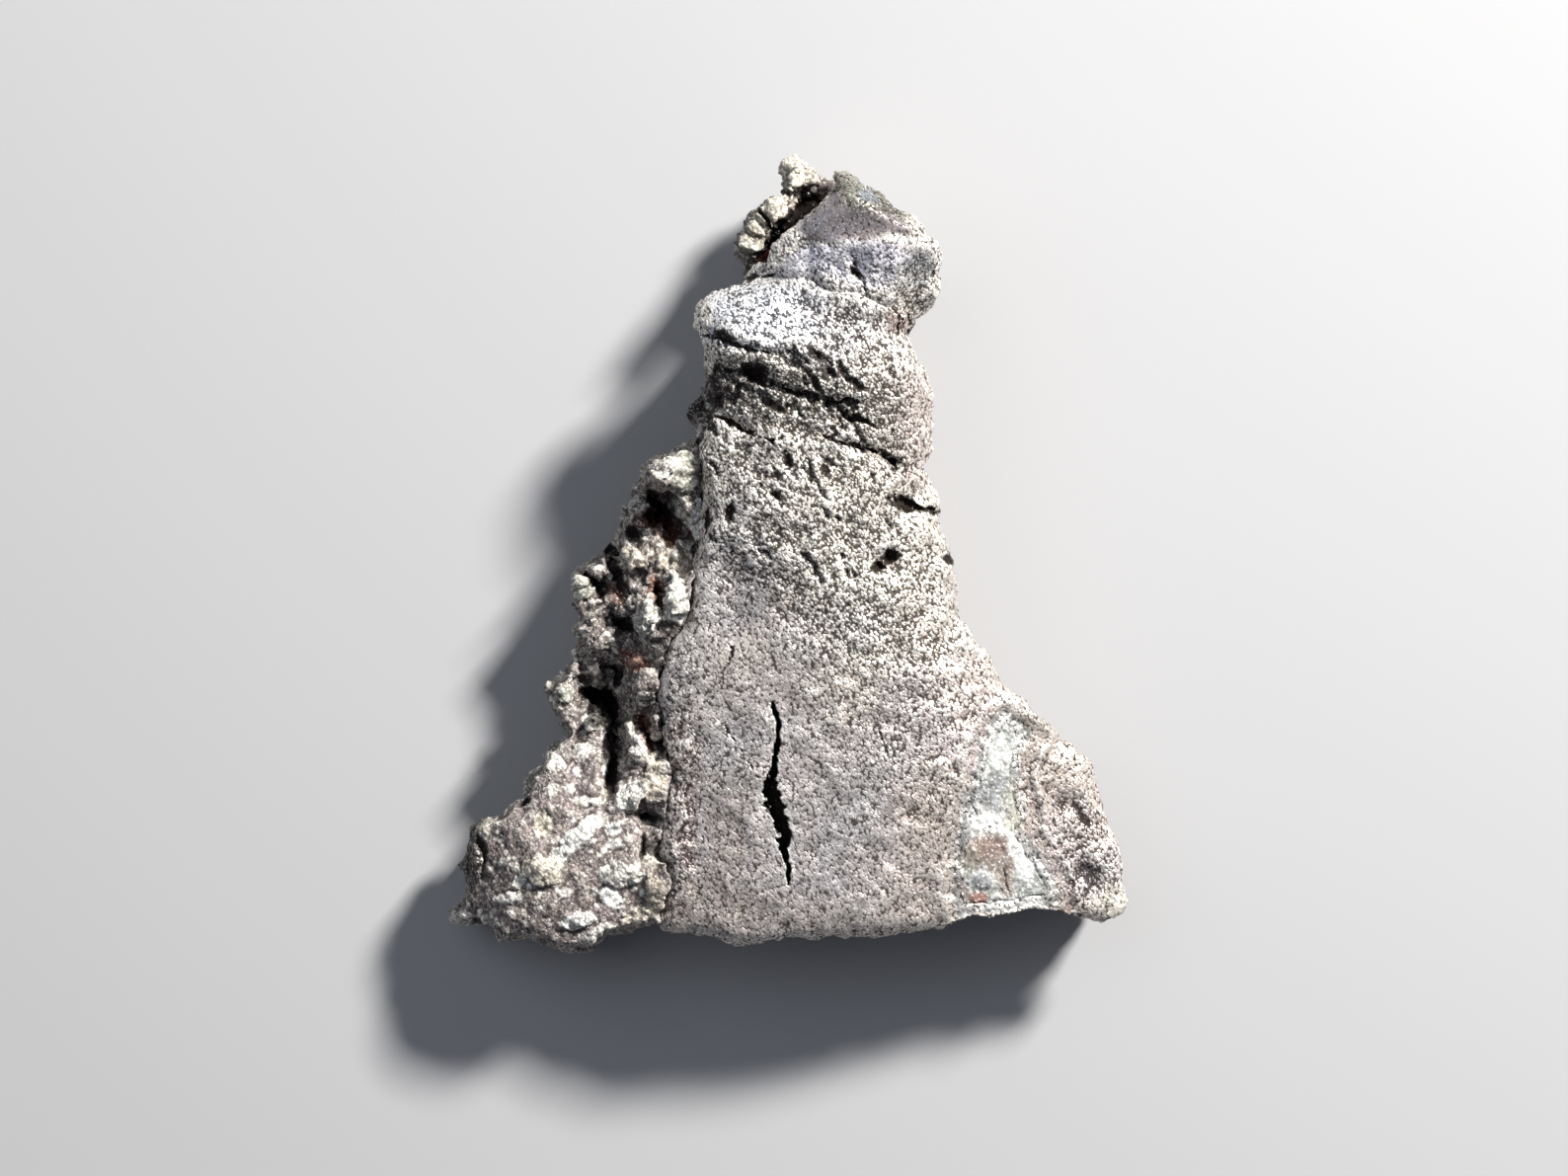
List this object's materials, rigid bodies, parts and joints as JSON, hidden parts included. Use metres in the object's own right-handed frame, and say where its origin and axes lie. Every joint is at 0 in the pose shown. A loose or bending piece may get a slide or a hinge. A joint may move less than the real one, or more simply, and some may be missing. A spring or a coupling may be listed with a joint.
{
  "type": "native silver specimen",
  "caption": "Tapering sheet of native silver with a curled head and an open crack, on pebbly host rock, with a calcite vein in its foot; it lies on its back.",
  "frame": {"origin": "middle of the bounding box, on the surface that the specimen lies on", "axes": "+Z out of the silver's face, +Y from the foot to the head, +X to the right of the face"},
  "size_m": [0.0872, 0.1008, 0.0297],
  "materials": {
    "silver": "grainy tarnished silver, dull grey to cream",
    "rock": "rough grey-brown rock with cream pebbles",
    "calcite": "pale green and white with red-brown spots"
  },
  "bodies": {
    "root": {"native_silver": "silver", "host_rock": "rock", "calcite_patch": "calcite"}
  },
  "joints": []
}
